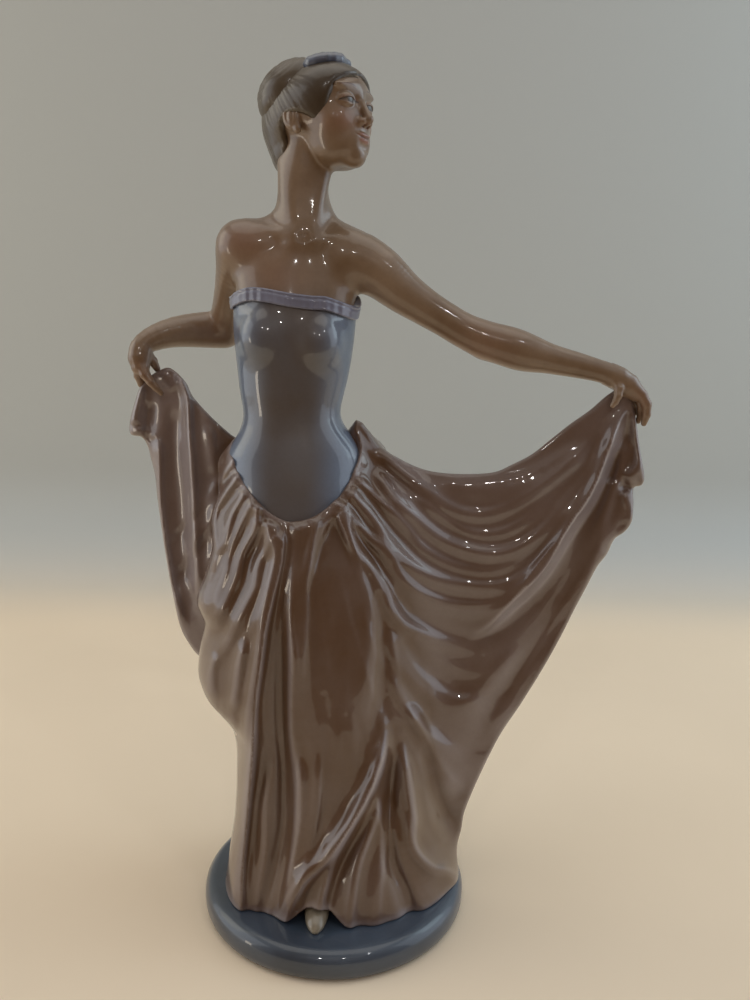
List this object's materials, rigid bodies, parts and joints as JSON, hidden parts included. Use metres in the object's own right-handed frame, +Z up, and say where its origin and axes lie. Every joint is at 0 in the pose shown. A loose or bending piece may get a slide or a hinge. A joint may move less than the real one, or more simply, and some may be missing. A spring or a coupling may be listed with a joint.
{
  "type": "porcelain figurine",
  "caption": "Glossy porcelain statuette of a standing dancer on a round plinth, holding her long skirt out to both sides.",
  "frame": {"origin": "centre of the plinth's flat underside", "axes": "+Z up through the figure, -Y the side she faces with her chest, +X her left side"},
  "size_m": [0.1955, 0.1, 0.3064],
  "materials": {
    "plinth_glaze": "slate blue underglaze colour under a clear gloss glaze",
    "skirt_glaze": "mauve to lilac-grey underglaze colour under a clear gloss glaze",
    "bodice_glaze": "blue-grey underglaze colour under a clear gloss glaze",
    "cuff_glaze": "pale lilac-blue underglaze colour under a clear gloss glaze",
    "skin_glaze": "warm beige underglaze colour under a clear gloss glaze",
    "hair_glaze": "olive-brown underglaze colour under a clear gloss glaze",
    "ribbon_glaze": "blue-grey underglaze colour under a clear gloss glaze",
    "shoe_glaze": "cream underglaze colour under a clear gloss glaze"
  },
  "bodies": {
    "root": {"plinth": "plinth_glaze", "skirt_body": "skirt_glaze", "left_drape": "skirt_glaze", "right_drape": "skirt_glaze", "bodice": "bodice_glaze", "neckline_cuff": "cuff_glaze", "shoulders": "skin_glaze", "left_arm": "skin_glaze", "left_hand": "skin_glaze", "right_upper_arm": "skin_glaze", "right_forearm": "skin_glaze", "right_hand": "skin_glaze", "head": "skin_glaze", "hair": "hair_glaze", "chignon": "hair_glaze", "hair_ribbon": "ribbon_glaze", "shoe": "shoe_glaze"}
  },
  "joints": []
}
